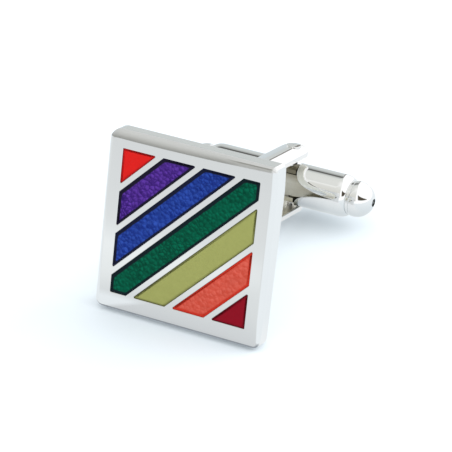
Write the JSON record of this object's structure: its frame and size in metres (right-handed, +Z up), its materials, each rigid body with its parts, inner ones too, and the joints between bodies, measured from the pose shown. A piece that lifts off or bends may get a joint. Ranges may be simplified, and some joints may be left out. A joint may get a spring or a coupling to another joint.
{
  "type": "cufflink",
  "caption": "Square cufflink with diagonal enamel stripes across its polished face, a forked post behind it and a pinned bullet toggle that swivels to hold the cuff.",
  "frame": {"origin": "centre of the bounding box at its base, on the surface where the cufflink rests", "axes": "+X to the right of the face as it is seen from the front, +Y from the face towards the toggle along the table, +Z up; the cufflink leans back by 14.4 degrees about X, resting on the lower back edge of its face plate and the lower end of its pin"},
  "size_m": [0.02, 0.0256, 0.0168],
  "materials": {
    "plate_metal": "mirror-polished silver-coloured plating",
    "post_metal": "polished silver-coloured plating",
    "toggle_metal": "polished silver-coloured plating",
    "pin_metal": "polished, riveted ends",
    "solder_metal": "satin solder under the plating",
    "spring_steel": "plain spring steel",
    "enamel_red": "opaque gloss enamel",
    "enamel_purple": "translucent gloss enamel over a hammered ground",
    "enamel_blue": "translucent gloss enamel over a hammered ground",
    "enamel_green": "translucent gloss enamel over a hammered ground",
    "enamel_olive": "opaque gloss enamel",
    "enamel_coral": "translucent gloss enamel with a faint texture",
    "enamel_crimson": "opaque gloss enamel"
  },
  "bodies": {
    "root": {"face_plate": "plate_metal", "enamel_red": "enamel_red", "enamel_purple": "enamel_purple", "enamel_blue": "enamel_blue", "enamel_green": "enamel_green", "enamel_olive": "enamel_olive", "enamel_coral": "enamel_coral", "enamel_crimson": "enamel_crimson", "post_frame": "post_metal", "post_foot": "post_metal", "solder_joint": "solder_metal", "hinge_pin": "pin_metal"},
    "toggle": {"toggle_bar": "toggle_metal", "end_knob_left": "toggle_metal", "end_knob_right": "toggle_metal", "leaf_spring": "spring_steel"}
  },
  "joints": [
    {"name": "toggle_swivel", "type": "hinge", "parent": "root", "child": "toggle", "pos_m": [0.0009, 0.01057, 0.00316], "axis": [0, 0.2481, 0.9687], "range_deg": [-90, 90]}
  ]
}
